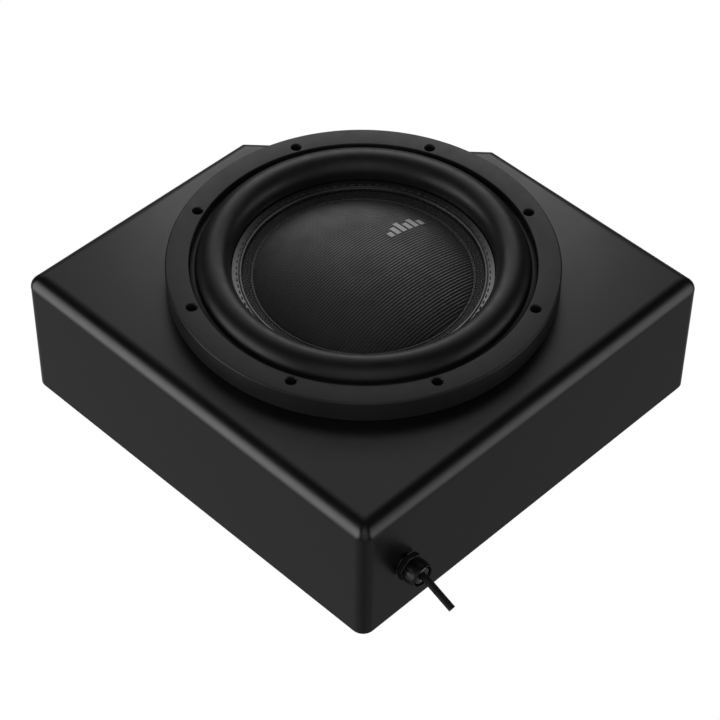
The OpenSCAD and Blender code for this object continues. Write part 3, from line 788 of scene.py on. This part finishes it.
def make_tinsel_leads():
    """Two loose flexible braids from the terminals up to the cone."""
    parts = []
    for s in (-1, 1):
        route = smooth_route([(s * x, y, z) for x, y, z in (
            (11, -87, 65), (11.5, -87.2, 66.5), (14, -88, 68.5), (19, -89, 72), (22, -86, 76),
            (21, -77, 80), (18, -66, 80), (14, -53, 78), (10, -42, 79))], 10)
        parts.append(tube(route, 0.76, 16, (0.3, 0, -1), lambda a, t: 0.07 * np.sin(3 * a + t * 2.6)))
    leads = new_object("braided_tinsel", *joined(parts), crease=60)
    return stretching(leads, "copper_wire", "tinsel_leads", lambda p: (p[:, 1] + 87) / 42)


# ---------------------------------------------------------------- gland

def make_gland():
    """Body with a hexagon, barrel nut with eased flutes, sealing washer and rubber seal."""
    where = along_gland()
    pieces = []
    hexagon = outline([
        (7.5, 1.4, 0), (8.8, 1.4, 0.3), (9.18, 1.9, 0.3), (9.18, 5.5, 0.3), (8.7, 6.0, 0.3),
        (6.6, 6.0, 0), (6.6, 12.0, 0.3), (4.4, 12.0, 0), (4.4, -16, 0), (7.5, -16, 0.3)], 4)

    def hexed(a, r, z):
        six = flats(6, 1.15)(a - math.radians(9.7), r, z)[0]
        return np.where((r > 8) & (z > 1.2) & (z < 6.2), six, r), z

    pieces.append(place(new_object("gland_hexagon", *lathe(hexagon, 144, hexed, place=where), crease=30),
                        "enclosure", "gland_nylon", ["gland_body"]))
    nut = outline([
        (6.7, 6.3, 0), (9.3, 6.3, 0.3), (9.6, 9.5, 1.2), (9.35, 12.5, 1.2), (8.9, 15.2, 1.0),
        (8.45, 16.6, 0.25), (7.9, 16.6, 0.25), (7.45, 15.9, 0.2), (7.45, 12.1, 0), (6.7, 12.1, 0)], 5)

    def fluted(a, r, z):
        fade = np.clip((12.5 - z) / 2, 0, 1) * (r > 8.4)
        return r - 0.28 * fade * (0.5 - 0.5 * np.cos(12 * a)) ** 2, z

    pieces.append(place(new_object("gland_dome_nut", *lathe(nut, 192, fluted, place=where), crease=40),
                        "enclosure", "gland_nylon", ["gland_nut"]))
    washer = outline([(7.55, 0.02, 0), (9.4, 0.02, 0.3), (9.4, 1.38, 0.3), (7.55, 1.38, 0)], 4)
    pieces.append(place(new_object("gland_sealing_washer", *lathe(washer, 96, place=where)),
                        "enclosure", "seal_rubber", ["gland_washer"]))
    seal = outline([
        (2.62, 12.2, 0), (7.4, 12.2, 0.2), (7.4, 14.4, 0.4), (6.3, 15.7, 1.0), (4.5, 16.2, 1.2),
        (3.1, 15.5, 0.6), (2.62, 14.8, 0.2)], 6)
    pieces.append(place(new_object("gland_rubber_seal", *lathe(seal, 96, place=where)),
                        "enclosure", "seal_rubber", ["gland_seal"]))
    return pieces


# ---------------------------------------------------------------- carried-over CAD nodes

def finish_nodes():
    """Eases the edges of the CAD nodes that stay and gives each its material."""
    eased = {"enclosure_shell": 0.5, "base_plate": 0.5, "basket": 0.5, "magnet": 0.8, "top_plate": 0.5,
             "t_yoke": 0.5, "heat_sink": 0.2, "magnet_boot": 0.4}
    smooth_only = {"harness_wires", "speaker_leads", "output_inductor", "inner_cable"}
    slots = {s["node"]: s["material_slot"] for s in frame["record"]["subparts"]}
    for name, obj in NODES.items():
        if obj.hide_render:
            continue
        normals = obj.data.attributes.get("custom_normal")
        if normals:
            obj.data.attributes.remove(normals)
        dress(obj, slots[name])
        obj.data.polygons.foreach_set("use_smooth", [True] * len(obj.data.polygons))
        obj.modifiers.new("weld", "WELD").merge_threshold = 2e-6
        if name not in smooth_only:
            bevel = obj.modifiers.new("eased edges", "BEVEL")
            bevel.width = eased.get(name, 0.12) * MM
            bevel.segments = 3 if name in eased else 2
            bevel.limit_method = "ANGLE"
            bevel.angle_limit = math.radians(40)
        obj.modifiers.new("normals", "WEIGHTED_NORMAL").keep_sharp = True


# ---------------------------------------------------------------- studio

# Soft lights far away: direction, angle of the bright middle, angle where it ends, strength
SKY = [
    ((-0.58, 0.53, 0.63), 8, 38, 0.50),
    ((0.80, 0.58, 0.02), 4, 34, 1.4),
    ((-0.49, -0.87, 0.05), 4, 36, 2.9),
    ((-0.60, -0.55, -0.60), 15, 60, 0.20),
    ((0.55, 0.62, -0.60), 15, 60, 0.14),
    ((-0.60, 0.60, -0.75), 10, 50, 0.25),
    ((0.75, -0.65, 0.25), 15, 45, 0.45),
    ((0.50, -0.50, 0.78), 4, 31, 0.42),
    ((0.50, -0.50, -0.70), 10, 45, 0.12),
]
SKY_LEVEL = 0.025


def make_sky():
    """A world of soft glows: each is a smooth spot round a fixed direction."""
    world = bpy.data.worlds.new("studio")
    world.use_nodes = True
    tree = world.node_tree
    background = tree.nodes["Background"]
    background.inputs[0].default_value = (1, 1, 1, 1)
    ray = tree.nodes.new("ShaderNodeTexCoord").outputs["Generated"]
    total = None
    for direction, inner, outer, strength in SKY:
        dot = tree.nodes.new("ShaderNodeVectorMath")
        dot.operation = "DOT_PRODUCT"
        tree.links.new(ray, dot.inputs[0])
        dot.inputs[1].default_value = Vector(direction).normalized()
        spot = tree.nodes.new("ShaderNodeMapRange")
        spot.interpolation_type = "SMOOTHSTEP"
        for socket, value in zip(spot.inputs[1:5], (math.cos(math.radians(outer)),
                                                    math.cos(math.radians(inner)), 0, strength)):
            socket.default_value = value
        tree.links.new(dot.outputs["Value"], spot.inputs[0])
        add = tree.nodes.new("ShaderNodeMath")
        tree.links.new(spot.outputs[0], add.inputs[0])
        if total:
            tree.links.new(total, add.inputs[1])
        else:
            add.inputs[1].default_value = SKY_LEVEL
        total = add.outputs[0]
    tree.links.new(total, background.inputs[1])
    bpy.context.scene.world = world


def add_softbox(name, power, size, where, target):
    """A rectangular area light that the camera doesn't see."""
    data = bpy.data.lights.new(name, "AREA")
    data.energy = power
    data.shape = "RECTANGLE"
    data.size, data.size_y = size
    softbox = bpy.data.objects.new(name, data)
    softbox.location = where
    softbox.rotation_euler = (Vector(target) - Vector(where)).to_track_quat("-Z", "Y").to_euler()
    softbox.visible_camera = False
    bpy.context.scene.collection.objects.link(softbox)


def make_studio():
    """White floor that glows evenly, so that it shows no shadow, under a soft sky and one softbox."""
    floor = new_object("studio_floor", [(-6, -6, 0), (6, -6, 0), (6, 6, 0), (-6, 6, 0)], [(0, 1, 2, 3)])
    paper = Look("studio_paper", Roughness=1.0, Specular_IOR_Level=0.0, Emission_Strength=1.0,
                 Emission_Color=(1, 1, 1, 1))
    paper.colour(paper.ramp(paper.noise(900, 2), (0.3, grey(0.0)), (0.7, grey(0.01))))
    floor.data.materials.append(paper.material)
    floor.location.z = -0.0005
    floor.visible_glossy = floor.visible_diffuse = False
    bpy.context.scene.view_settings.view_transform = "Standard"
    make_sky()
    add_softbox("back strip", 0.43, (0.42, 0.24), (-0.28, 0.29, 0.32), (0, 0, 0.11))


add_camera()
cord, conductors = make_cord()
make_trim_ring()
make_driver_screws()
make_surround()
make_edge()
make_stitching()
make_cone()
make_dust_cap()
make_cap_bead()
make_cap_mark()
make_spider()
make_tinsel_leads()
gland_pieces = make_gland()
finish_nodes()
make_studio()
bpy.context.view_layer.update()
